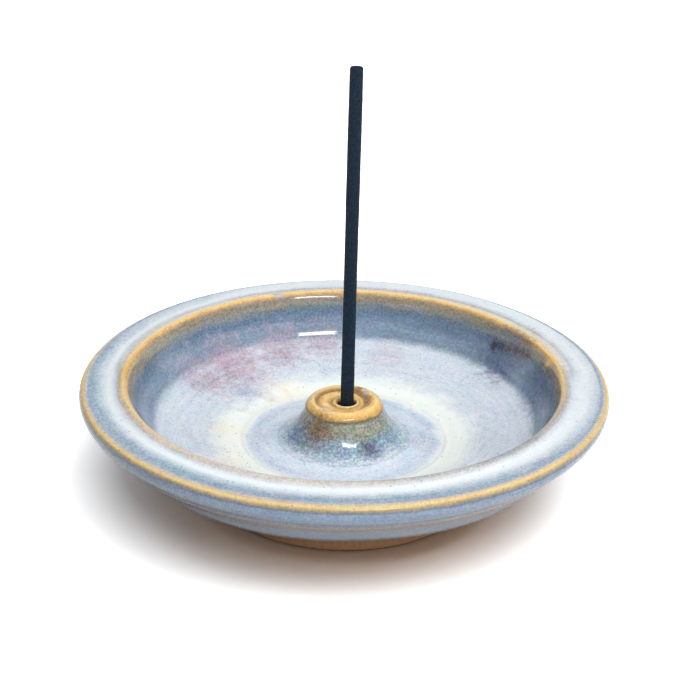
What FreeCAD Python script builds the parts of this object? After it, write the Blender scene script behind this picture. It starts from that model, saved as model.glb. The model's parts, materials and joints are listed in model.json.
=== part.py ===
import FreeCAD, Part
import math
import os

# Incense burner: a wheel-thrown stoneware dish whose centre cone holds one stick of incense upright.
# Millimetres, +Z up, origin at the centre of the foot ring on the table.
# The glaze is fused to the clay, so the dish is one solid, measured over the glaze down to the glaze line.

# Stick of incense
stick_diameter = 2.9
stick_length = 90.0
stick_end_ease = 0.2

# Hole in the cone, tapered by the tool that pierced it
hole_depth = 13.9
mouth_clearance = 0.95      # round the stick at the glazed mouth
end_clearance = 0.775       # round the stick at the bottom of the hole
lean_gap = 0.3              # between the stick and the side of the hole that it leans on
seat_gap = 0.1              # between the stick and the bottom of the hole
hole_lip_ease = 0.4

# Cone
cone_height = 9.5           # above the floor of the dish
cone_base_radius = 14.2
cone_crest_radius = 6.5
cone_shoulder_radius = 8.4
cone_shoulder_drop = 1.3    # below the crest
hole_lip_drop = 0.45        # of the hole's lip below the crest
cone_dip = 0.4              # of the dished top below the hole's lip
cone_crest_ease = 0.6
cone_roll = 1.05            # of the flank and the top that the roll takes up
cone_foot_sweep = 2.1       # of the floor and the flank that the curve between them takes up

# Bowl
bowl_depth = 14.3           # from the rim's edge down to the ring where the floor is lowest
floor_ring_radius = 22.5
floor_rise = 4.9            # from that ring out to the foot of the wall
wall_run = 6.5              # from the foot of the wall out to the inner lip
wall_sweep = 4.6            # of the floor and the wall that the curve between them takes up

# Rim flange
rim_radius = 58.2
flange_width = 10.0         # from the inner lip out to the edge
inner_lip_rise = 0.6        # above the edge
inner_lip_width = 2.1
inner_lip_roll = 0.7        # of the wall and the flange that the lip's round takes up
flange_dip = 0.65           # of the groove beside the inner lip
edge_height = 3.9
edge_lean = 0.3             # the edge stands further in at its top
edge_ease = 0.5
edge_under_ease = 0.9

# Underside
belly_radius = 48.0         # where the glaze stops
belly_drop = 12.7           # below the rim's edge
glaze_step = 0.4            # of the glaze over the bare clay
floor_thickness = 9.5       # from the foot's recess to the lowest ring of the floor

# Trimmed foot ring
foot_radius = 29.8
foot_height = 3.3
foot_flare = 0.8            # the ring is wider at its top
foot_ring_width = 5.5
foot_ease = 0.4
recess_depth = 2.4
recess_taper = 1.0

# Heights and radii that follow
floor_height = recess_depth + floor_thickness
rim_height = floor_height + bowl_depth
cone_top_height = floor_height + cone_height
hole_lip_height = cone_top_height - hole_lip_drop
hole_floor = hole_lip_height - hole_depth
stick_radius = stick_diameter / 2
mouth_radius = stick_radius + mouth_clearance
inner_lip_radius = rim_radius - flange_width
inner_lip_height = rim_height + inner_lip_rise
recess_radius = foot_radius - foot_ring_width

# A corner of a section is its radius, its height, how much of the two runs beside it is taken up,
# and whether a round or a flat takes their place.
bowl_section = [
    (0, hole_floor, 0, "flat"),
    (stick_radius + end_clearance, hole_floor, 0, "flat"),
    (mouth_radius, hole_lip_height, hole_lip_ease, "flat"),
    ((mouth_radius + cone_crest_radius) / 2, hole_lip_height - cone_dip, 0, "flat"),
    (cone_crest_radius, cone_top_height, cone_crest_ease, "flat"),
    (cone_shoulder_radius, cone_top_height - cone_shoulder_drop, cone_roll, "round"),
    (cone_base_radius, floor_height, cone_foot_sweep, "round"),
    (floor_ring_radius, floor_height, 0, "flat"),
    (inner_lip_radius - wall_run, floor_height + floor_rise, wall_sweep, "round"),
]
rim_section = [
    (inner_lip_radius, inner_lip_height, inner_lip_roll, "round"),
    (inner_lip_radius + inner_lip_width, inner_lip_height - flange_dip, 0, "flat"),
    (rim_radius - edge_lean, rim_height, edge_ease, "flat"),
    (rim_radius, rim_height - edge_height, edge_under_ease, "flat"),
    (belly_radius, rim_height - belly_drop, 0, "flat"),
]
foot_section = [
    (foot_radius + foot_flare, foot_height, 0, "flat"),
    (foot_radius, 0, foot_ease, "flat"),
    (recess_radius, 0, foot_ease, "flat"),
    (recess_radius - recess_taper, recess_depth, 0, "flat"),
    (0, recess_depth, 0, "flat"),
]


def section_point(corner):
    """Point of a section, drawn in the XZ plane."""
    return FreeCAD.Vector(corner[0], 0, corner[1])


def heading(start, end):
    """Unit direction from one point to another."""
    run = end - start
    return run / run.Length


def section_curves(corners):
    """Straight runs through the corners, joined by arcs or flats that keep within their two runs."""
    points = [section_point(corner) for corner in corners]
    curves = []
    reached = points[0]
    for before, point, after, corner in zip(points, points[1:], points[2:], corners[1:]):
        back = heading(point, before)
        ahead = heading(point, after)
        taken = min(corner[2], 0.48 * (before - point).Length, 0.48 * (after - point).Length)
        first = point + back * taken
        last = point + ahead * taken
        curves.append(Part.LineSegment(reached, first))
        if taken > 0 and corner[3] == "flat":
            curves.append(Part.LineSegment(first, last))
        if taken > 0 and corner[3] == "round":
            half_angle = back.getAngle(ahead) / 2
            to_crest = taken * (1 - math.sin(half_angle)) / math.cos(half_angle)
            crest = point + heading(FreeCAD.Vector(), back + ahead) * to_crest
            curves.append(Part.Arc(first, crest, last))
        reached = last
    curves.append(Part.LineSegment(reached, points[-1]))
    return curves


def turned(corners):
    """Solid of revolution about Z from corners that start and end on the axis."""
    curves = section_curves(corners)
    curves.append(Part.LineSegment(curves[-1].EndPoint, curves[0].StartPoint))
    wire = Part.Wire([curve.toShape() for curve in curves])
    return Part.Face(wire).revolve(FreeCAD.Vector(), FreeCAD.Vector(0, 0, 1), 360)


def make_stoneware_dish():
    """Thrown dish with its cone, pierced hole, glazed rim and trimmed foot ring of bare clay."""
    underside = heading(section_point(rim_section[-1]), section_point(rim_section[-2]))
    into_clay = FreeCAD.Vector(-underside.z, 0, underside.x)
    bare_belly = section_point(rim_section[-1]) + into_clay * glaze_step
    glaze_line = [(bare_belly.x, bare_belly.z, 0, "flat")]
    return turned(bowl_section + rim_section + glaze_line + foot_section)


def make_incense_stick():
    """Plain rolled stick that stands in the hole and leans on its +X side."""
    stick = turned([
        (0, 0, 0, "flat"),
        (stick_radius, 0, stick_end_ease, "flat"),
        (stick_radius, stick_length, stick_end_ease, "flat"),
        (0, stick_length, 0, "flat"),
    ])
    lean = math.atan2(mouth_clearance - end_clearance, hole_depth)
    seat_height = hole_floor + seat_gap + stick_radius * math.sin(lean)
    stick.rotate(FreeCAD.Vector(), FreeCAD.Vector(0, 1, 0), math.degrees(lean))
    stick.translate(FreeCAD.Vector(end_clearance - lean_gap, 0, seat_height))
    return stick


os.makedirs("parts", exist_ok=True)
make_stoneware_dish().exportStep("parts/stoneware_dish.step")
make_incense_stick().exportStep("parts/incense_stick.step")
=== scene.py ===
import json
import math
from collections import namedtuple

import bmesh
import bpy
from bpy.props import FloatProperty, FloatVectorProperty, IntProperty, PointerProperty
from mathutils import Matrix, Vector


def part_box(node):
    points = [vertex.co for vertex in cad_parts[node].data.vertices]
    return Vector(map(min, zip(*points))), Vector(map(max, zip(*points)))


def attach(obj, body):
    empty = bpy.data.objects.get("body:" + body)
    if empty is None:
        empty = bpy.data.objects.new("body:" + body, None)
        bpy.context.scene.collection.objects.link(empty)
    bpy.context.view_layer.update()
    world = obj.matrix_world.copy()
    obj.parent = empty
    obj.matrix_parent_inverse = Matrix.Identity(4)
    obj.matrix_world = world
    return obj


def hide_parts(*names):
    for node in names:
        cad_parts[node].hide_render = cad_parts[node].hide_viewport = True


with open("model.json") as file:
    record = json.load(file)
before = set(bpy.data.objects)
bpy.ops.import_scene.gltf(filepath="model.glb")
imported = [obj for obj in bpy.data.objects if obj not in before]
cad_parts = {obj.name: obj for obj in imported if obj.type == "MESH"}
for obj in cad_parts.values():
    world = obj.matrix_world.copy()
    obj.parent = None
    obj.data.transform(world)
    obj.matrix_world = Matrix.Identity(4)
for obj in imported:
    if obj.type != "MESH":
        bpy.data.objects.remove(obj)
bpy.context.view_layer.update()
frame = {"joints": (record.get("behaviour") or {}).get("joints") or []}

bl_info = {
    "name": "Incense burner",
    "version": (1, 0, 0),
    "blender": (4, 5, 0),
    "location": "3D View > Sidebar > Incense burner",
    "description": "Throws and glazes a stoneware incense dish, and stands a stick of incense in it",
    "category": "Add Mesh",
}

DISH_LOW, DISH_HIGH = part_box("stoneware_dish")
STICK_LOW, STICK_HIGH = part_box("incense_stick")
STICK_AXIS = Vector(frame["joints"][0]["axis"]).normalized()
MM = 0.001

# Marks of the thrower's hand, in millimetres
FLANGE_LEVEL = 24       # the rim and the top of the wall lie above this
LIP_RADIUS = 48.4       # middle of the inner lip
BACK_LIP_RISE = 0.35    # of the lip at the back
MOUTH_SHIFT = 0.6       # of the hole's mouth towards +X
GROOVE_DEPTH = 0.5      # of the finger's groove on top of the cone

# Steps of the meshes: along a section in millimetres, and round the stick
DISH_SPACING = 0.35
STICK_SPACING = 0.9
STICK_SEGMENTS = 32

# Values that each point of a mesh keeps for its material
NOTES = ("along", "ragged", "mottle", "groove", "front_grey", "shade")


def pigment(red, green, blue):
    """Colour as a screen shows it, 0 to 255, turned into the light that it stands for."""
    shares = [value / 255 for value in (red, green, blue)]
    return tuple(v / 12.92 if v <= 0.04045 else ((v + 0.055) / 1.055) ** 2.4 for v in shares)


def length_property(name, description, default):
    return FloatProperty(name=name, description=description, default=default, min=0, unit="LENGTH",
                         subtype="DISTANCE", precision=4)


def colour_property(name, description, default):
    return FloatVectorProperty(name=name, description=description, default=default, size=3, min=0, max=1,
                               subtype="COLOR")


class DishSizes(bpy.types.PropertyGroup):
    """Sizes of the thrown dish"""

    rim_radius: length_property("Rim radius", "From the axis to the outside of the rim", DISH_HIGH.x)
    rim_height: length_property("Rim height", "Top of the rim's inner lip above the table", DISH_HIGH.z)
    flange_width: length_property("Flange width", "From the inner lip out to the edge", 0.0095)
    floor_height: length_property("Floor height", "Lowest ring of the floor above the table", 0.0119)
    cone_height: length_property("Cone height", "Top of the cone above the floor", 0.0095)
    cone_radius: length_property("Cone radius", "Widest part of the roll round the cone's top", 0.0085)
    mouth_radius: length_property("Mouth radius", "Of the hole at its glazed mouth", 0.0024)
    hole_depth: length_property("Hole depth", "From the mouth to the bottom of the hole", 0.0139)
    belly_radius: length_property("Belly radius", "Where the glaze stops on the underside", 0.048)
    foot_radius: length_property("Foot radius", "Outside of the trimmed foot ring", 0.0298)
    recess_depth: length_property("Recess depth", "Hollow inside the foot ring", 0.0024)
    segments: IntProperty(name="Segments", description="Steps round the dish", default=192, min=24)


class GlazeColours(bpy.types.PropertyGroup):
    """Colours that the glaze breaks into, and painted shade laid over it"""

    amber: colour_property("Amber", "Thin glaze on the edges", pigment(238, 191, 112))
    ochre: colour_property("Ochre", "Inner side of the lip", pigment(204, 168, 116))
    honey: colour_property("Honey", "Brightest line of an edge", pigment(253, 226, 160))
    straw: colour_property("Straw", "Line along the outer edge", pigment(222, 194, 136))
    rust: colour_property("Rust", "Iron that gathers beside an edge", pigment(122, 74, 40))
    umber: colour_property("Umber", "Thin glaze in the grooves", pigment(122, 96, 74))
    fawn: colour_property("Fawn", "Brown under the inner lip", pigment(150, 138, 120))
    frost: colour_property("Frost", "Between the cone's blue and the floor", pigment(186, 200, 212))
    pearl: colour_property("Pearl", "Between the rim's white and its blue", pigment(206, 216, 226))
    putty: colour_property("Putty", "Faint ring in the floor", pigment(224, 222, 214))
    taupe: colour_property("Taupe", "Thin line beside the lip", pigment(180, 166, 146))
    stone: colour_property("Stone", "Grey of the lip and the underside's ring", pigment(202, 195, 190))
    sage: colour_property("Sage", "Top of the cone's flank", pigment(158, 160, 144))
    olive: colour_property("Olive", "Top of the wall", pigment(132, 138, 138))
    # Slate is also laid on as painted shade on the underside's sides.
    slate: colour_property("Slate", "Blue of the wall and of the underside's sides", pigment(124, 142, 165))
    dove: colour_property("Dove", "Grey-blue of the lower wall", pigment(136, 156, 178))
    dusk: colour_property("Dusk", "Darkest blue of the wall", pigment(103, 126, 150))
    haze: colour_property("Haze", "Foot of the wall", pigment(165, 180, 197))
    blue: colour_property("Blue", "Floating blue of the underside", pigment(174, 201, 231))
    foam: colour_property("Foam", "Paler blue above the glaze line", pigment(190, 219, 243))
    sky: colour_property("Sky", "Floating blue of the rim", pigment(162, 180, 197))
    teal: colour_property("Teal", "Blue round the foot of the cone", pigment(146, 168, 184))
    ice: colour_property("Ice", "Floor beside the cone", pigment(210, 220, 233))
    pool: colour_property("Pool", "Bluer ring of the floor", pigment(196, 209, 226))
    mist: colour_property("Mist", "Floor towards the wall", pigment(207, 216, 227))
    mauve: colour_property("Mauve", "Blush on the floor", pigment(180, 160, 176))
    cream: colour_property("Cream", "Ring where the glaze lies thickest", pigment(240, 246, 242))
    milk: colour_property("Milk", "White band on the rim", pigment(238, 245, 248))
    butter: colour_property("Butter", "Yellower patches of the ring", pigment(248, 236, 208))
    # The next two colours are painted shade: they darken the sides of the cone and the right of the wall.
    painted_shade_violet: colour_property("Indigo", "Violet-blue patches", pigment(92, 92, 122))
    painted_shade_blue: colour_property("Denim", "Dark blue patches", pigment(92, 112, 142))
    char: colour_property("Char", "Dark streak of iron on the wall", pigment(62, 50, 47))
    ink: colour_property("Ink", "Dark line under the edge", pigment(96, 96, 102))
    clay: colour_property("Bare clay", "Foot and underside", pigment(204, 158, 118))


class StickSizes(bpy.types.PropertyGroup):
    """Stick of incense"""

    diameter: length_property("Diameter", "Of the rolled stick", STICK_HIGH.y - STICK_LOW.y)
    bow: length_property("Bow", "How far the middle stands off a straight line", 0.00005)
    colour: colour_property("Colour", "Pressed powder", pigment(5, 25, 40))
    dust: colour_property("Dust", "Paler grains", pigment(20, 46, 66))


class StageSettings(bpy.types.PropertyGroup):
    """Camera, floor and light"""

    camera_place: FloatVectorProperty(name="Camera", description="Where the camera stands", size=3,
                                      default=(0.0011, -0.37934, 0.2074), subtype="TRANSLATION")
    camera_pitch: FloatProperty(name="Pitch", description="How far down the camera looks", default=0.430,
                                subtype="ANGLE")
    camera_roll: FloatProperty(name="Roll", description="How far the camera leans",
                               default=math.radians(0.849), subtype="ANGLE")
    focal_length: FloatProperty(name="Focal length", description="Of the lens, in millimetres",
                                default=98.14)
    floor_colour: colour_property("Floor", "Pale floor", (0.2, 0.2, 0.21))
    floor_glare: FloatProperty(name="Glare", description="How bright the camera sees the lit floor",
                               default=1.8)
    floor_mirror: FloatProperty(name="Mirror", description="How bright the glaze mirrors the floor",
                                default=1.4)
    contact_reach: length_property("Contact reach", "How near the object the floor darkens", 0.005)
    softbox_power: FloatProperty(name="Softbox", description="Lamp overhead, in watts", default=45.5)
    fill_power: FloatProperty(name="Fill", description="Low lamp in front, in watts", default=5.0)
    strip_power: FloatProperty(name="Strip", description="Lamp that makes the highlights, in watts",
                               default=1.5)


class BurnerSettings(bpy.types.PropertyGroup):
    """All that can be set"""

    dish: PointerProperty(type=DishSizes)
    glaze: PointerProperty(type=GlazeColours)
    stick: PointerProperty(type=StickSizes)
    stage: PointerProperty(type=StageSettings)


# Station: a point of the turned section in millimetres, the glaze colour there, how ragged that colour's
# edge is in millimetres, how strongly it is mottled, how far the point waves, and whether it is a corner.
Station = namedtuple("Station", "radius height glaze ragged mottle wave corner",
                     defaults=("", 0.3, 0.3, 0, False))


def hole_and_cone(sizes):
    """Stations from the bottom of the hole to the foot of the cone."""
    mouth = sizes.mouth_radius / MM
    floor = sizes.floor_height / MM
    crown = floor + sizes.cone_height / MM
    bottom = crown - 0.45 - sizes.hole_depth / MM
    roll = sizes.cone_radius / MM
    return [
        Station(0, bottom, "umber", corner=True),
        Station(mouth - 0.17, bottom, "rust", corner=True),
        Station(mouth - 0.05, crown - 3.2, "umber", 0.2),
        Station(mouth - 0.35, crown - 2.0, "umber", 0.1, 0.2),
        Station(mouth - 0.4, crown - 1.3, "umber", 0.1, 0.2),
        Station(mouth - 0.2, crown - 0.75, "amber", 0.1, 0.1),
        Station(mouth + 0.15, crown - 0.42, "honey", 0.1, 0.1),
        Station(mouth + 0.45, crown - 0.6, "amber", 0.1, 0.1),
        Station(mouth + 0.75, crown - 1.0, "umber", 0.1, 0.3),
        Station(mouth + 1.1, crown - 0.95, "amber", 0.2, 0.4),
        Station(mouth + 1.9, crown - 0.55, "honey", 0.6, 0.5),
        Station(roll - 3.1, crown - 0.25, "amber", 0.6, 0.6),
        Station(roll - 2.2, crown - 0.02, "amber", 0.4, 0.4),
        Station(roll - 1.3, crown + 0.08, "honey", 0.3, 0.3),
        Station(roll - 0.6, crown - 0.25, "amber", 0.3, 0.3),
        Station(roll - 0.1, crown - 0.95, "amber", 0.4, 0.4),
        Station(roll + 0.25, crown - 1.5, "umber", 0.4, 0.5),
        Station(roll + 0.15, crown - 2.05, "sage", 0.5, 0.8),
        Station(roll + 0.45, crown - 2.75, "sage", 0.9, 1.0),
        Station(roll + 1.2, floor + 5.3, "sage", 1.2, 1.0),
        Station(roll + 2.3, floor + 3.5, "teal", 1.4, 1.0),
        Station(roll + 3.65, floor + 1.7, "teal", 1.0, 1.0),
        Station(roll + 5.1, floor + 0.65, "frost", 0.7, 0.8),
    ]


def floor_and_wall(sizes):
    """Stations from the foot of the cone to the top of the wall."""
    floor = sizes.floor_height / MM
    lip = (sizes.rim_radius - sizes.flange_width) / MM
    top = sizes.rim_height / MM
    return [
        Station(16, floor + 0.1, "ice", 0.6, 0.5),
        Station(18.3, floor - 0.05, "ice", 1.0, 0.5),
        Station(19.8, floor - 0.1, "pool", 1.0, 0.5),
        Station(21.5, floor - 0.05, "ice", 0.6, 0.5),
        Station(22.5, floor + 0.05, "cream", 0.2, 0.3),
        Station(22.95, floor + 0.3, "putty", 0.2, 0.3),
        Station(23.5, floor + 0.25, "cream", 0.3, 0.4),
        Station(26, floor + 0.85, "cream", 2.0, 0.55),
        Station(31, floor + 2.15, "mist", 3.0, 0.5),
        Station(36, floor + 3.45, "mist", 2.0, 0.5),
        Station(39.5, floor + 4.35, "mist", 1.2, 0.4),
        Station(41.3, floor + 4.9, "mist", 0.6, 0.3),
        Station(42.35, floor + 5.45, "haze", 0.5, 0.3),
        Station(42.75, floor + 6.1, "dove", 0.5, 0.3),
        Station(43.16, floor + 6.76, "dove", 0.5, 0.3),
        Station(43.5, floor + 7.35, "dove", 0.5, 0.3),
        Station(43.9, floor + 8.15, "dove", 0.9, 0.3),
        Station(lip - 3.95, top - 5.15, "slate", 1.0, 0.4),
        Station(lip - 3.1, top - 3.55, "dusk", 0.8, 0.4),
        Station(lip - 2.45, top - 2.25, "olive", 0.7, 0.5),
        Station(lip - 1.8, top - 1.0, "fawn", 0.5, 0.5),
    ]


def rim_and_underside(sizes):
    """Stations from the inner lip over the flange and the edge, and down to where the glaze stops."""
    lip = (sizes.rim_radius - sizes.flange_width) / MM
    rim = sizes.rim_radius / MM
    top = sizes.rim_height / MM
    belly = sizes.belly_radius / MM
    return [
        Station(lip - 1.44, top - 0.45, "fawn", 0.3, 0.4),
        Station(lip - 1.08, top + 0.09, "ochre", 0.3, 0.4),
        Station(lip - 0.6, top + 0.38, "amber", 0.25, 0.3),
        Station(lip - 0.05, top + 0.3, "honey", 0.2, 0.3),
        Station(lip + 0.5, top + 0.1, "taupe", 0.15, 0.3),
        Station(lip + 1.4, top - 0.18, "pearl", 0.2, 0.3),
        Station(lip + 2.4, top - 0.45, "milk", 0.3, 0.3),
        Station(lip + 3.6, top - 0.5, "pearl", 0.4, 0.4),
        Station(rim - 4.4, top - 0.47, "sky", 0.4, 0.4),
        Station(rim - 3.2, top - 0.4, "sky", 0.3, 0.4),
        Station(rim - 1.9, top - 0.33, "stone", 0.2, 0.3),
        Station(rim - 1.1, top - 0.3, "straw", 0.12, 0.2),
        Station(rim - 0.5, top - 0.5, "straw", 0.12, 0.2),
        Station(rim - 0.12, top - 1.1, "ink", 0.2, 0.3),
        Station(rim - 0.03, top - 2.0, "blue", 0.4, 0.5),
        Station(rim - 0.35, top - 3.2, "blue", 0.5, 0.6),
        Station(rim - 1.2, top - 4.5, "blue", 0.8, 0.7),
        Station(rim - 2.7, top - 5.8, "haze", 0.6, 0.6),
        Station(rim - 3.7, top - 7.1, "stone", 0.6, 0.5),
        Station(rim - 4.9, top - 8.1, "stone", 0.6, 0.5),
        Station(rim - 6.8, top - 10.0, "foam", 0.6, 0.6),
        Station(belly + 1.3, top - 12.0, "foam", 0.5, 0.6, 0.3),
        Station(belly + 0.4, top - 12.9, "slate", 0.3, 0.5, 0.8),
        Station(belly - 0.1, top - 13.5, "rust", 0.1, 0.4, 0.8),
        Station(belly - 0.7, top - 13.65, "rust", 0.1, 0.4, 0.8),
        Station(belly - 0.8, top - 13.2, "clay", 0.1, 0.3, 0.8, True),
    ]


def bare_foot(sizes):
    """Stations over the bare clay, from the glaze line to the middle of the foot's recess."""
    foot = sizes.foot_radius / MM
    belly = sizes.belly_radius / MM
    recess = sizes.recess_depth / MM
    return [
        Station(belly - 5, 10.6, "clay"),
        Station(foot + 7, 7.0, "clay"),
        Station(foot + 2.2, 4.1, "clay"),
        Station(foot + 0.9, 3.2, "clay"),
        Station(foot + 0.45, 1.8, "clay"),
        Station(foot + 0.15, 0.75, "clay"),
        Station(foot - 0.1, 0.3, "clay"),
        Station(foot - 0.9, 0, "clay", corner=True),
        Station(foot - 5.1, 0, "clay", corner=True),
        Station(foot - 5.6, 0.4, "clay"),
        Station(foot - 6.5, recess, "clay", corner=True),
        Station(0, recess, "clay", corner=True),
    ]


def spline_weights(share):
    """Weights of the four control points of a cubic B-spline's span."""
    rest = 1 - share
    return (rest ** 3 / 6, (3 * share ** 3 - 6 * share ** 2 + 4) / 6,
            (3 * rest ** 3 - 6 * rest ** 2 + 4) / 6, share ** 3 / 6)


def draw_section(stations, spacing):
    """Smooth section that runs close by the stations and through the corners: its points, their lengths
    along it, their stations' notes, and the lengths at which the stations lie."""
    controls = [station for station in stations for copy in range(3 if station.corner else 1)]
    values = [(s.radius, s.height, s.ragged, s.mottle, s.wave) for s in controls]
    rows = []
    for index in range(1, len(controls) - 2):
        near = values[index - 1:index + 3]
        steps = max(1, math.ceil(math.dist(near[1][:2], near[2][:2]) / spacing))
        for step in range(steps):
            weights = spline_weights(step / steps)
            row = [sum(w * v for w, v in zip(weights, column)) for column in zip(*near)]
            if rows and math.dist(rows[-1][:2], row[:2]) < 1e-6:
                continue
            rows.append(row)
    rows.append(list(values[-1]))
    along = [0]
    for before, after in zip(rows, rows[1:]):
        along.append(along[-1] + math.dist(before[:2], after[:2]))
    points = [Vector(row[:2]) for row in rows]
    marks = []
    for station in stations:
        spot = Vector((station.radius, station.height))
        marks.append(along[min(range(len(points)), key=lambda count: (points[count] - spot).length)])
    return points, along, [tuple(row[2:]) for row in rows], marks


def window(value, centre, width):
    """1 at a centre, falling steeply to 0 about a width away on either side."""
    return math.exp(-((value - centre) / width) ** 4)


def hand_wobble(angle, point, wave):
    """How far a thrower's hand and the glaze's run move a point of the section, in millimetres."""
    share = (point.x / 58) ** 2 * min(1, max(0, point.y / 20))
    out = share * (0.05 * math.cos(2 * angle + 0.6) + 0.035 * math.cos(3 * angle + 2.1))
    up = share * (0.06 * math.cos(2 * angle + 1.1) + 0.04 * math.cos(5 * angle + 0.4))
    lip = window(point.x, LIP_RADIUS, 2.6) if point.y > FLANGE_LEVEL else 0
    up += BACK_LIP_RISE * lip * max(0, math.sin(angle)) ** 0.6
    mouth = window(point.x, 0, 3.4) if point.y > 4 else 0
    out += MOUTH_SHIFT * mouth * math.cos(angle)
    waves = 0.3 * math.sin(5 * angle + 1) + 0.2 * math.sin(9 * angle + 2.4) + 0.12 * math.sin(17 * angle)
    run = 0.7 * wave * waves
    return out + run, up + run


def finger_groove(angle, radius):
    """Share, 0 to 1, of the spiral groove that a finger left on top of the cone."""
    turned = (angle + math.pi / 2) % (2 * math.pi) / math.radians(310)
    if turned > 1:
        return 0
    centre = 3.6 + 2.7 * turned ** 0.55
    width = 0.5 + 0.5 * math.exp(-((turned - 0.3) / 0.2) ** 2)
    return window(radius, centre, width) * math.sin(math.pi * turned) ** 0.25


def front_lip_grey(angle, point):
    """Share, 0 to 1, of stone grey laid on the lip and on the white beside it, towards the front."""
    if point.y < FLANGE_LEVEL:
        return 0
    return max(0, -math.sin(angle)) * window(point.x, 48.7, 1.3)


def painted_side_shade(angle, point):
    """Share, 0 to 1, of slate blue laid on as painted shade on the underside's sides, more at the left than
    at the right, and laid on the inner lip at the right front."""
    edge_level = 25.8
    if point.y > edge_level:
        right_front = max(0, math.cos(angle + math.radians(42)))
        return 0.6 * right_front ** 6 * window(point.x, 48.1, 1.0)
    side = math.cos(angle)
    below_edge = max(0, min(1, (edge_level - point.y) / 0.7, (point.x - 50) / 2))
    return below_edge * (0.9 if side < 0 else 0.5) * min(1, 1.5 * side * side)


def drift_and_painted_reflection(angle, point):
    """How far the flange's bands lie further out than the stations say, in millimetres: the white spreads at
    the back as a painted reflection of the bright backdrop, the lip's amber spreads at the back, and the
    amber slips inwards at the front and the right."""
    if point.y < FLANGE_LEVEL:
        return 0
    back = max(0, math.sin(angle))
    front = max(0, -math.sin(angle))
    white = max(0, min((point.x - 50) / 5.8, (57 + back - point.x) / 1.2))
    spread = max(0, min((point.x - LIP_RADIUS) / 2.2, (54 - point.x) / 3.4))
    slip = max(0, min(point.x - 46.8, (52 - point.x) / 3, 1))
    edge = max(0, min(1, (point.x - 56.6) / 0.7, point.y - FLANGE_LEVEL))
    return (white * (2.55 + 2.05 * math.sin(angle) + 0.9 * math.cos(angle)) + spread * 1.9 * back ** 0.6
            - slip * (0.05 + 0.3 * math.cos(angle) * (1 - back) + 0.8 * front + 0.2 * back)
            + edge * (0.35 * math.cos(angle + 0.7) + 0.9 * back))


def spin_section(name, section, segments, wobble):
    """Closed mesh of a section turned about Z, whose points keep the values of NOTES. The wobble gives how
    far a point moves outwards and up, how far its bands drift, its groove, how much grey it takes towards
    the front, and how much painted shade it takes."""
    points, along, notes = section[:3]
    form = bmesh.new()
    layers = [form.verts.layers.float.new(key) for key in NOTES]
    rings = []
    for point, length, (ragged, mottle, wave) in zip(points, along, notes):
        ring = []
        off_axis = point.x > 1e-6
        for step in range(segments if off_axis else 1):
            angle = 2 * math.pi * step / segments
            out, up, drift, *shares = wobble(angle, point, wave)
            radius = point.x + out if off_axis else 0
            place = Vector((radius * math.cos(angle), radius * math.sin(angle), point.y + up))
            vert = form.verts.new(place * MM)
            for layer, value in zip(layers, (length - drift, ragged, mottle, *shares)):
                vert[layer] = value
            ring.append(vert)
        rings.append(ring)
    for inner, outer in zip(rings, rings[1:]):
        for step in range(segments):
            after = (step + 1) % segments
            corners = [inner[step % len(inner)], outer[step % len(outer)], outer[after % len(outer)],
                       inner[after % len(inner)]]
            form.faces.new(list(dict.fromkeys(corners)))
    bmesh.ops.recalc_face_normals(form, faces=form.faces)
    mesh = bpy.data.meshes.new(name)
    form.to_mesh(mesh)
    form.free()
    mesh.shade_smooth()
    piece = bpy.data.objects.new(name, mesh)
    bpy.context.scene.collection.objects.link(piece)
    return piece


def add_node(tree, kind, inputs=None, **settings):
    """Adds a node, sets it, and links or sets its inputs by name or number."""
    made = tree.nodes.new("ShaderNode" + kind)
    for key, value in settings.items():
        setattr(made, key, value)
    for key, value in (inputs or {}).items():
        if isinstance(value, bpy.types.NodeSocket):
            tree.links.new(value, made.inputs[key])
        else:
            made.inputs[key].default_value = value
    return made


def place_group(tree, group, inputs):
    return add_node(tree, "Group", inputs, node_tree=bpy.data.node_groups[group])


def calc(tree, operation, first, second=0.0, clamp=False):
    return add_node(tree, "Math", {0: first, 1: second}, operation=operation, use_clamp=clamp).outputs[0]


def ease(tree, value, low, high):
    """0 at low, 1 at high, and a smooth step between them."""
    made = add_node(tree, "MapRange", {"Value": value, 1: low, 2: high}, interpolation_type="SMOOTHSTEP")
    return made.outputs[0]


def lay_over(tree, mask, under, over, way="MIX"):
    made = add_node(tree, "Mix", {0: mask, 6: under, 7: over}, data_type="RGBA", blend_type=way)
    return made.outputs[2]


def opaque(colour):
    return (*colour, 1)


def new_group(name, inputs, outputs):
    """Empty shader node group with named sockets."""
    tree = bpy.data.node_groups.new(name, "ShaderNodeTree")
    for label, kind in inputs:
        tree.interface.new_socket(label, in_out="INPUT", socket_type="NodeSocket" + kind)
    for label, kind in outputs:
        tree.interface.new_socket(label, in_out="OUTPUT", socket_type="NodeSocket" + kind)
    return tree, tree.nodes.new("NodeGroupInput"), tree.nodes.new("NodeGroupOutput")


def patch_group():
    """Ragged round patch: a mask that is 1 at a centre and falls to 0 at a radius."""
    tree, given, put_out = new_group(
        "ragged_patch",
        [("Place", "Vector"), ("Centre", "Vector"), ("Radius", "Float"), ("Lump", "Float"),
         ("Ragged", "Float")],
        [("Mask", "Float")])
    lumps = add_node(tree, "TexNoise", {"Vector": given.outputs["Place"], "Detail": 1.0,
                                        "Scale": calc(tree, "DIVIDE", 1.0, given.outputs["Lump"])})
    distance = add_node(tree, "VectorMath", {0: given.outputs["Place"], 1: given.outputs["Centre"]},
                        operation="DISTANCE").outputs["Value"]
    share = calc(tree, "DIVIDE", distance, given.outputs["Radius"])
    shift = calc(tree, "MULTIPLY", calc(tree, "SUBTRACT", lumps.outputs[0], 0.5), given.outputs["Ragged"])
    mask = ease(tree, calc(tree, "ADD", share, shift), 1.0, 0.0)
    tree.links.new(mask, put_out.inputs["Mask"])
    return tree


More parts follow.
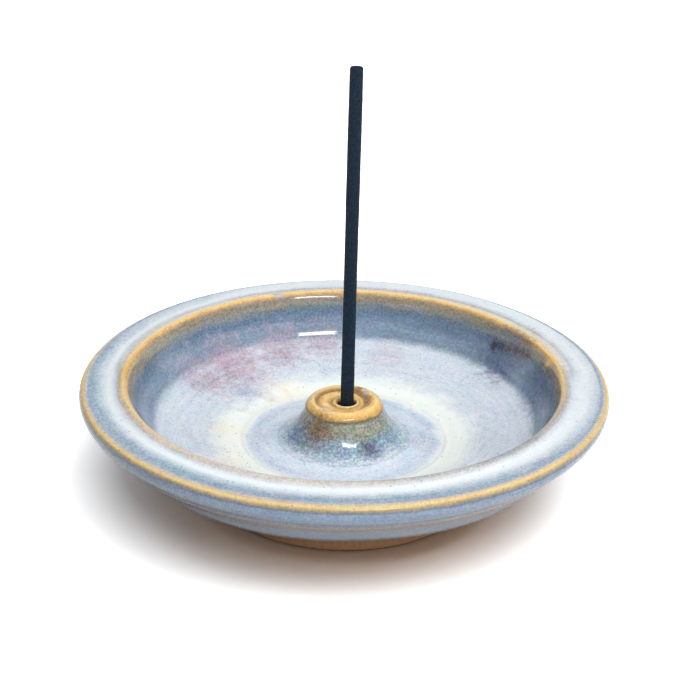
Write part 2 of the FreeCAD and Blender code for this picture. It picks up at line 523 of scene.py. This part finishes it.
def grain_group():
    """Fine grain: a mask of grains and a height for bump."""
    tree, given, put_out = new_group(
        "fine_grain", [("Place", "Vector"), ("Size", "Float")], [("Mask", "Float"), ("Height", "Float")])
    grains = add_node(tree, "TexNoise", {"Vector": given.outputs["Place"], "Detail": 4.0, "Roughness": 0.65,
                                         "Scale": calc(tree, "DIVIDE", 1.0, given.outputs["Size"])})
    tree.links.new(ease(tree, grains.outputs[0], 0.42, 0.66), put_out.inputs["Mask"])
    tree.links.new(grains.outputs[0], put_out.inputs["Height"])
    return tree


def mottle_group():
    """Mottling that lightens and darkens about a mid grey, plain and in hues."""
    tree, given, put_out = new_group(
        "soft_mottle", [("Place", "Vector"), ("Size", "Float"), ("Contrast", "Float")],
        [("Grey", "Float"), ("Hue", "Color")])
    lumps = add_node(tree, "TexNoise", {"Vector": given.outputs["Place"], "Detail": 2.0, "Roughness": 0.6,
                                        "Scale": calc(tree, "DIVIDE", 1.0, given.outputs["Size"])})
    grey = calc(tree, "MULTIPLY", calc(tree, "SUBTRACT", lumps.outputs[0], 0.5), given.outputs["Contrast"])
    tree.links.new(calc(tree, "ADD", grey, 0.5, clamp=True), put_out.inputs["Grey"])
    mid_grey = (0.5, 0.5, 0.5)
    centred = add_node(tree, "VectorMath", {0: lumps.outputs["Color"], 1: mid_grey}, operation="SUBTRACT")
    spread = add_node(tree, "VectorMath", {0: centred.outputs[0], "Scale": given.outputs["Contrast"]},
                      operation="SCALE")
    hue = add_node(tree, "VectorMath", {0: spread.outputs[0], 1: mid_grey}, operation="ADD")
    tree.links.new(hue.outputs[0], put_out.inputs["Hue"])
    return tree


def speck_group():
    """Scattered dark specks of iron, of uneven size."""
    tree, given, put_out = new_group(
        "iron_specks", [("Place", "Vector"), ("Spacing", "Float"), ("Size", "Float")], [("Mask", "Float")])
    cells = add_node(tree, "TexVoronoi", {"Vector": given.outputs["Place"],
                                          "Scale": calc(tree, "DIVIDE", 1.0, given.outputs["Spacing"])})
    chance = add_node(tree, "SeparateColor", {0: cells.outputs["Color"]}).outputs[0]
    reach = calc(tree, "MULTIPLY", calc(tree, "MULTIPLY", chance, chance), given.outputs["Size"])
    distance = calc(tree, "MULTIPLY", cells.outputs["Distance"], given.outputs["Spacing"])
    tree.links.new(ease(tree, calc(tree, "DIVIDE", distance, reach), 1.0, 0.5), put_out.inputs["Mask"])
    return tree


def new_material(name):
    material = bpy.data.materials.new(name)
    material.use_nodes = True
    tree = material.node_tree
    tree.nodes.clear()
    return material, tree


def place_in_mm(tree):
    """Place on the piece itself, in millimetres."""
    spot = add_node(tree, "TexCoord").outputs["Object"]
    return add_node(tree, "VectorMath", {0: spot, "Scale": 1 / MM}, operation="SCALE").outputs[0]


def note(tree, name):
    return add_node(tree, "Attribute", attribute_name=name).outputs["Fac"]


def glaze_ramp(tree, value, stops, colours):
    """Colour ramp along the section, with one stop for each station."""
    ramp = add_node(tree, "ValToRGB", {"Fac": value})
    elements = ramp.color_ramp.elements
    elements.remove(elements[1])
    for count, (mark, glaze) in enumerate(stops):
        stop = elements[0] if count == 0 else elements.new(mark)
        stop.position = mark
        stop.color = opaque(getattr(colours, glaze))
    return ramp.outputs["Color"]


# Blush: a patch of another glaze colour or of painted shade, its bearing in degrees from +X, its radius
# and size in millimetres, how much of it shows and the size of its lumps.
Blush = namedtuple("Blush", "glaze bearing radius size strength lump")
BLUSHES_AND_PAINTED_SHADE = [
    Blush("mauve", 138, 34, 14, 0.65, 3.0),
    Blush("mauve", 132, 40, 10, 0.85, 2.5),
    Blush("mauve", 148, 39, 10, 0.65, 2.5),
    Blush("mauve", 113, 39.5, 9, 0.9, 2.5),
    Blush("mauve", 98, 40.5, 8, 0.7, 2.0),
    Blush("blue", 142, 29.8, 6, 0.4, 2.0),
    Blush("butter", 122, 25, 8, 0.4, 2.5),
    Blush("butter", 178, 27, 8, 0.35, 2.5),
    Blush("butter", -150, 28, 8, 0.3, 2.5),
    Blush("haze", 3, 17.6, 6, 0.4, 1.5),
    Blush("mauve", 350, 17, 5, 0.25, 1.2),
    Blush("mauve", 74, 37, 8, 0.3, 2.0),
    Blush("haze", 181, 17.6, 6, 0.3, 1.5),
    Blush("cream", -25, 23.8, 5.5, 0.8, 2.0),
    Blush("cream", 8, 23.8, 5.5, 0.8, 2.0),
    Blush("cream", 45, 23.8, 5.5, 0.8, 2.0),
    Blush("umber", -128, 9.6, 6.5, 0.85, 0.8),
    # Painted shade: the next six rows darken the sides of the cone.
    Blush("painted_shade_blue", 165, 10.3, 6.5, 0.85, 0.8),
    Blush("painted_shade_blue", 205, 11.2, 5.0, 0.6, 0.8),
    Blush("painted_shade_blue", 15, 9.6, 5.0, 0.95, 0.6),
    Blush("painted_shade_blue", 158, 9.0, 3.4, 0.85, 0.6),
    Blush("painted_shade_blue", 24, 9.0, 3.4, 0.85, 0.6),
    Blush("painted_shade_violet", -60, 11.8, 3.8, 0.9, 0.8),
    # Painted shade: the next three rows darken the right of the wall.
    Blush("painted_shade_violet", 35, 44, 11, 0.4, 1.5),
    Blush("painted_shade_violet", 8, 44.5, 10, 0.45, 1.5),
    Blush("painted_shade_blue", 32, 44.6, 9, 0.8, 1.5),
    Blush("umber", 27, 46.2, 5.0, 0.5, 1.0),
    Blush("rust", 33, 45.6, 3.0, 0.35, 1.2),
    Blush("char", 39, 44.9, 2.3, 0.85, 0.6),
    Blush("char", 36, 45.1, 2.1, 0.8, 0.6),
    Blush("char", 33, 45.3, 1.9, 0.7, 0.6),
    Blush("char", 30, 45.5, 2.1, 0.8, 0.6),
    Blush("char", 27, 45.7, 1.9, 0.7, 0.6),
    Blush("char", 24, 45.9, 1.7, 0.6, 0.6),
    Blush("amber", 13, 47.2, 2.6, 0.9, 0.8),
    Blush("sky", 110, 48.8, 2.6, 0.9, 1.0),
    Blush("sky", 101, 48.8, 1.4, 0.8, 0.7),
    Blush("haze", 222, 5.7, 1.3, 0.9, 0.5),
    Blush("haze", 41, 6.2, 1.2, 0.9, 0.5),
    Blush("rust", 60, 6.6, 1.8, 0.8, 0.6),
]


def on_top(points, bearing, radius):
    """Point of the dish's upper side at a bearing and a radius, in millimetres."""
    highest = max(point.y for point in points if abs(point.x - radius) < 0.3)
    return (radius * math.cos(math.radians(bearing)), radius * math.sin(math.radians(bearing)), highest)


def glaze_material(colours, parts, section):
    """Floating-blue rutile glaze that breaks amber on the edges, over bare clay at the foot, with painted
    shade on the sides of the cone, the wall and the underside, and a painted reflection on the back of the
    flange.
    """
    points, lengths, _, marks = section
    stations = [station for part in parts for station in part]
    material, tree = new_material("floating_blue_glaze")
    place = place_in_mm(tree)
    along, ragged, mottle, groove, front_grey, shade = (note(tree, key) for key in NOTES)

    # Bands of colour run round the dish with ragged edges, and break up where the glaze ran.
    wander = place_group(tree, "soft_mottle", {"Place": place, "Size": 5.0, "Contrast": 3.0})
    fray = place_group(tree, "soft_mottle", {"Place": place, "Size": 0.8, "Contrast": 0.45})
    shift = calc(tree, "SUBTRACT", calc(tree, "ADD", wander.outputs["Grey"], fray.outputs["Grey"]), 1.0)
    shifted = calc(tree, "ADD", along, calc(tree, "MULTIPLY", shift, ragged))
    where = calc(tree, "DIVIDE", shifted, lengths[-1])
    stops = [(mark / lengths[-1], station.glaze) for mark, station in zip(marks, stations)]
    first = 0
    colour = None
    for part in parts:
        ramp = glaze_ramp(tree, where, stops[first:first + len(part)], colours)
        border = (stops[first - 1][0] + stops[first][0]) / 2
        beyond = calc(tree, "GREATER_THAN", where, border)
        colour = lay_over(tree, beyond, colour, ramp) if first else ramp
        first += len(part)

    # Iron gathers in the finger groove on top of the cone.
    dregs = calc(tree, "MULTIPLY", groove, calc(tree, "ADD", fray.outputs["Grey"], 0.35), clamp=True)
    colour = lay_over(tree, dregs, colour, opaque(colours.umber))

    # Stone grey is laid on the lip towards the front.
    front_greying = calc(tree, "MULTIPLY", front_grey, calc(tree, "ADD", fray.outputs["Grey"], 0.25), clamp=True)
    colour = lay_over(tree, front_greying, colour, opaque(colours.stone))

    # Painted shade: slate blue darkens the underside at its sides, and is laid on the lip at the right front
    # too.
    colour = lay_over(tree, shade, colour, opaque(colours.slate))

    # Blushes of other colours lie where the glaze is thicker or thinner. The dark blue and violet-blue
    # ones on the sides of the cone and on the right of the wall are painted shade.
    for blush in BLUSHES_AND_PAINTED_SHADE:
        patch = place_group(tree, "ragged_patch", {
            "Place": place, "Centre": on_top(points, blush.bearing, blush.radius), "Radius": blush.size,
            "Lump": blush.lump, "Ragged": 1.1})
        colour = lay_over(tree, calc(tree, "MULTIPLY", patch.outputs[0], blush.strength), colour,
                          opaque(getattr(colours, blush.glaze)))

    # Streaks from the wheel, mottling from fine to cloudy, and dark specks, thicker at the left front.
    streaked = add_node(tree, "VectorMath", {0: place, 1: (1, 1, 2.5)}, operation="MULTIPLY").outputs[0]
    round_it = add_node(tree, "VectorMath", {0: place, 1: (1, 1, 0)}, operation="MULTIPLY").outputs[0]
    bearing = add_node(tree, "VectorMath", {0: round_it}, operation="NORMALIZE").outputs[0]
    turns = add_node(tree, "VectorMath", {0: bearing, "Scale": 3.0}, operation="SCALE").outputs[0]
    steps_out = add_node(tree, "CombineXYZ", {2: calc(tree, "MULTIPLY", along, 0.8)}).outputs[0]
    thrown = add_node(tree, "VectorMath", {0: turns, 1: steps_out}, operation="ADD").outputs[0]
    streaks = place_group(tree, "soft_mottle", {"Place": thrown, "Size": 1.0, "Contrast": 1.6})
    fine = place_group(tree, "soft_mottle", {"Place": place, "Size": 0.5, "Contrast": 2.0})
    coarse = place_group(tree, "soft_mottle", {"Place": streaked, "Size": 1.5, "Contrast": 1.2})
    cloud = place_group(tree, "soft_mottle", {"Place": streaked, "Size": 4.0, "Contrast": 1.4})
    strength = calc(tree, "ADD", calc(tree, "MULTIPLY", mottle, 0.4), 0.15)
    for texture, output, share in (
            (streaks, "Hue", 0.2), (streaks, "Grey", 0.5), (cloud, "Hue", 0.25),
            (coarse, "Hue", 0.12), (coarse, "Grey", 0.6), (fine, "Grey", 1.0)):
        amount = calc(tree, "MULTIPLY", strength, share)
        colour = lay_over(tree, amount, colour, texture.outputs[output], "OVERLAY")
    specks = place_group(tree, "iron_specks", {"Place": place, "Spacing": 1.2, "Size": 0.32})
    colour = lay_over(tree, calc(tree, "MULTIPLY", specks.outputs[0], 0.45), colour, opaque(colours.ink))
    peppered = place_group(tree, "ragged_patch", {
        "Place": place, "Centre": on_top(points, 215, 30), "Radius": 20, "Lump": 4.0, "Ragged": 1.1})
    pepper = place_group(tree, "iron_specks", {"Place": place, "Spacing": 0.65, "Size": 0.34})
    pepper_mask = calc(tree, "MULTIPLY", pepper.outputs[0], peppered.outputs[0])
    colour = lay_over(tree, calc(tree, "MULTIPLY", pepper_mask, 0.5), colour, opaque(colours.umber))

    # Bare clay below the glaze line, with its grain.
    grain = place_group(tree, "fine_grain", {"Place": place, "Size": 0.6})
    glaze_line = marks[[station.glaze for station in stations].index("clay")]
    bare = ease(tree, along, glaze_line - 0.1, glaze_line + 0.05)
    clay = lay_over(tree, grain.outputs["Mask"], opaque(colours.clay),
                    opaque([0.82 * value for value in colours.clay]))
    colour = lay_over(tree, bare, colour, clay)
    thinning = ease(tree, along, glaze_line - 2.2, glaze_line)
    gloss = add_node(tree, "MapRange", {"Value": thinning, 3: 0.07, 4: 0.85}).outputs[0]
    bump_height = calc(tree, "MULTIPLY", grain.outputs["Height"], bare)
    bump = add_node(tree, "Bump", {"Height": bump_height, "Strength": 0.5, "Distance": 0.0002})
    shader = add_node(tree, "BsdfPrincipled", {"Base Color": colour, "Roughness": gloss, "IOR": 1.5,
                                               "Normal": bump.outputs[0]})
    add_node(tree, "OutputMaterial", {"Surface": shader.outputs[0]})
    return material


def incense_material(settings):
    """Matt pressed powder, blue-black, with paler grains."""
    material, tree = new_material("pressed_incense")
    place = place_in_mm(tree)
    grain = place_group(tree, "fine_grain", {"Place": place, "Size": 0.5})
    colour = lay_over(tree, grain.outputs["Mask"], opaque(settings.colour), opaque(settings.dust))
    bump = add_node(tree, "Bump", {"Height": grain.outputs["Height"], "Strength": 0.6, "Distance": 0.0001})
    shader = add_node(tree, "BsdfPrincipled", {"Base Color": colour, "Roughness": 0.85,
                                               "Normal": bump.outputs[0]})
    add_node(tree, "OutputMaterial", {"Surface": shader.outputs[0]})
    return material


class ThrowDish(bpy.types.Operator):
    """Throw the dish with its cone, hole and foot, and glaze it"""

    bl_idname = "incense_burner.throw_dish"
    bl_label = "Throw dish"

    def execute(self, context):
        settings = context.scene.incense_burner
        sizes = settings.dish
        parts = [hole_and_cone(sizes), floor_and_wall(sizes), rim_and_underside(sizes), bare_foot(sizes)]
        section = draw_section([station for part in parts for station in part], DISH_SPACING)
        cone_top_level = sizes.floor_height / MM + 6

        def wobble(angle, point, wave):
            out, up = hand_wobble(angle, point, wave)
            groove = finger_groove(angle, point.x) if point.y > cone_top_level else 0
            return (out, up - GROOVE_DEPTH * groove, drift_and_painted_reflection(angle, point), groove,
                    front_lip_grey(angle, point), painted_side_shade(angle, point))

        dish = spin_section("glazed_dish", section, sizes.segments, wobble)
        dish.data.materials.append(glaze_material(settings.glaze, parts, section))
        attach(dish, "dish")
        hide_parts("stoneware_dish")
        return {"FINISHED"}


class RollStick(bpy.types.Operator):
    """Roll the stick of incense and stand it in the hole"""

    bl_idname = "incense_burner.roll_stick"
    bl_label = "Roll stick"

    def execute(self, context):
        settings = context.scene.incense_burner.stick
        radius = settings.diameter / 2 / MM
        lean = math.atan2(STICK_AXIS.x, STICK_AXIS.z)
        length = ((STICK_HIGH.z - STICK_LOW.z) / MM - 2 * radius * math.sin(lean)) / math.cos(lean)
        end_ease = 0.2
        stations = [
            Station(0, 0, corner=True),
            Station(radius - end_ease, 0, corner=True),
            Station(radius, end_ease),
            Station(radius, 1.0),
            Station(radius, length - 1.0),
            Station(radius, length - end_ease),
            Station(radius - end_ease, length, corner=True),
            Station(0, length, corner=True),
        ]

        def wobble(angle, point, wave):
            out = 0.02 * math.sin(2 * angle + point.y / 9) + 0.012 * math.sin(point.y / 2.3)
            return out, 0, 0, 0, 0, 0

        section = draw_section(stations, STICK_SPACING)
        stick = spin_section("rolled_stick", section, STICK_SEGMENTS, wobble)
        for vert in stick.data.vertices:
            share = vert.co.z / (length * MM)
            vert.co.x -= settings.bow * math.sin(math.pi * share)
        seat = Vector((math.cos(lean), 0, math.sin(lean))) * radius * MM
        seat += Vector((STICK_LOW.x, 0, STICK_LOW.z))
        stick.data.transform(Matrix.Translation(seat) @ Matrix.Rotation(lean, 4, "Y"))
        stick.data.materials.append(incense_material(settings))
        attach(stick, "stick")
        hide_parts("incense_stick")
        return {"FINISHED"}


def add_lamp(name, place, aim, width, height, power, mirrored=False):
    """Rectangular lamp that faces a point. A mirrored one shows only as a highlight in the glaze."""
    data = bpy.data.lights.new(name, "AREA")
    data.shape = "RECTANGLE"
    data.size = width
    data.size_y = height
    data.energy = power
    lamp = bpy.data.objects.new(name, data)
    lamp.visible_glossy = mirrored
    lamp.visible_diffuse = not mirrored
    lamp.location = place
    lamp.rotation_euler = (Vector(aim) - Vector(place)).to_track_quat("-Z", "Y").to_euler()
    bpy.context.scene.collection.objects.link(lamp)


def ray_kinds(tree):
    """Whether a ray comes straight from the camera, and whether it was mirrored or came through glass."""
    path = add_node(tree, "LightPath")
    mirrored = calc(tree, "MAXIMUM", path.outputs["Is Glossy Ray"], path.outputs["Is Transmission Ray"])
    return path.outputs["Is Camera Ray"], mirrored


def studio_world():
    """White tent that is brightest overhead and dim near the floor, and plain white to the camera. Its
    lowest part is the backdrop, which the glaze mirrors as white too."""
    world = bpy.data.worlds.new("studio")
    world.use_nodes = True
    tree = world.node_tree
    heading = add_node(tree, "TexCoord").outputs["Generated"]
    rise = add_node(tree, "SeparateXYZ", {0: heading}).outputs["Z"]
    glow = add_node(tree, "MapRange", {"Value": rise, 1: 0.4, 2: 0.95, 3: 0.05, 4: 0.55},
                    interpolation_type="SMOOTHSTEP").outputs[0]
    from_camera, mirrored = ray_kinds(tree)
    backdrop = calc(tree, "MULTIPLY", ease(tree, rise, 0.3, 0.2), mirrored)
    white = calc(tree, "MAXIMUM", from_camera, backdrop)
    tree.links.new(calc(tree, "MAXIMUM", glow, white), tree.nodes["Background"].inputs["Strength"])
    tree.nodes["Background"].inputs["Color"].default_value = (1, 1, 1, 1)
    return world


def floor_material(settings):
    """Pale matt floor that reads as white where no shadow falls, darkens close by the object with painted
    contact shade, and is plain white far off."""
    material, tree = new_material("pale_floor")
    place = place_in_mm(tree)
    paper = place_group(tree, "fine_grain", {"Place": place, "Size": 3.0})
    colour = lay_over(tree, paper.outputs["Mask"], opaque(settings.floor_colour),
                      opaque([0.995 * value for value in settings.floor_colour]))
    from_camera, mirrored = ray_kinds(tree)
    bright = lay_over(tree, mirrored, colour, opaque([settings.floor_mirror] * 3))
    # Painted contact shade: ambient occlusion darkens the floor, as the camera sees it, close by the object.
    open_sky = add_node(tree, "AmbientOcclusion", {"Distance": settings.contact_reach}).outputs["AO"]
    glare = calc(tree, "MULTIPLY", calc(tree, "POWER", open_sky, 0.6), settings.floor_glare)
    bright = lay_over(tree, from_camera, bright, glare)
    paper_shader = add_node(tree, "BsdfDiffuse", {"Color": bright})
    distance = add_node(tree, "VectorMath", {0: place}, operation="LENGTH").outputs["Value"]
    seen = calc(tree, "MAXIMUM", from_camera, mirrored)
    far = calc(tree, "MULTIPLY", ease(tree, distance, 450, 750), seen)
    white = add_node(tree, "Emission", {"Color": (1, 1, 1, 1), "Strength": 1.0})
    shader = add_node(tree, "MixShader", {0: far, 1: paper_shader.outputs[0], 2: white.outputs[0]})
    add_node(tree, "OutputMaterial", {"Surface": shader.outputs[0]})
    return material


class SetStage(bpy.types.Operator):
    """Set the camera, the pale floor and the soft light"""

    bl_idname = "incense_burner.set_stage"
    bl_label = "Set stage"

    def execute(self, context):
        settings = context.scene.incense_burner.stage
        scene = context.scene
        lens = bpy.data.cameras.new("camera")
        lens.lens = settings.focal_length
        lens.sensor_width = 36
        lens.clip_start = 0.01
        camera = bpy.data.objects.new("camera", lens)
        camera.matrix_world = (Matrix.Translation(settings.camera_place)
                               @ Matrix.Rotation(math.pi / 2 - settings.camera_pitch, 4, "X")
                               @ Matrix.Rotation(settings.camera_roll, 4, "Z"))
        scene.collection.objects.link(camera)
        scene.camera = camera
        scene.view_settings.view_transform = "Standard"

        mesh = bpy.data.meshes.new("floor")
        side = 4.0
        corners = [(-side, -side, 0), (side, -side, 0), (side, side, 0), (-side, side, 0)]
        mesh.from_pydata(corners, [], [(0, 1, 2, 3)])
        floor = bpy.data.objects.new("floor", mesh)
        scene.collection.objects.link(floor)
        floor.data.materials.append(floor_material(settings))

        scene.world = studio_world()
        aim = (0, 0, 0.02)
        add_lamp("front_softbox", (0.5, -0.75, 1.8), aim, width=2.4, height=1.5,
                 power=settings.softbox_power)
        add_lamp("front_fill", (0.5, -1.2, 0.11), aim, width=1.6, height=0.18, power=settings.fill_power)
        reach = 0.9
        turn = math.radians(15)
        rise = math.radians(41)
        strip_place = (reach * math.cos(rise) * math.sin(turn), -reach * math.cos(rise) * math.cos(turn),
                       reach * math.sin(rise))
        add_lamp("strip", strip_place, aim, width=0.42, height=0.05, power=settings.strip_power,
                 mirrored=True)
        return {"FINISHED"}


class BurnerPanel(bpy.types.Panel):
    """Sizes, colours and steps of the incense burner"""

    bl_idname = "VIEW3D_PT_incense_burner"
    bl_label = "Incense burner"
    bl_space_type = "VIEW_3D"
    bl_region_type = "UI"
    bl_category = "Incense burner"

    def draw(self, context):
        settings = context.scene.incense_burner
        for step in STEPS:
            self.layout.operator(step.bl_idname)
        for group in (settings.dish, settings.glaze, settings.stick, settings.stage):
            column = self.layout.column(align=True)
            for key in group.__annotations__:
                column.prop(group, key)


STEPS = (ThrowDish, RollStick, SetStage)
CLASSES = (DishSizes, GlazeColours, StickSizes, StageSettings, BurnerSettings, *STEPS, BurnerPanel)


def register():
    for cls in CLASSES:
        bpy.utils.register_class(cls)
    bpy.types.Scene.incense_burner = PointerProperty(type=BurnerSettings)


def unregister():
    del bpy.types.Scene.incense_burner
    for cls in reversed(CLASSES):
        bpy.utils.unregister_class(cls)


def main():
    register()
    for make_group in (patch_group, grain_group, mottle_group, speck_group):
        make_group()
    bpy.ops.incense_burner.throw_dish()
    bpy.ops.incense_burner.roll_stick()
    bpy.ops.incense_burner.set_stage()


if __name__ == "__main__":
    main()
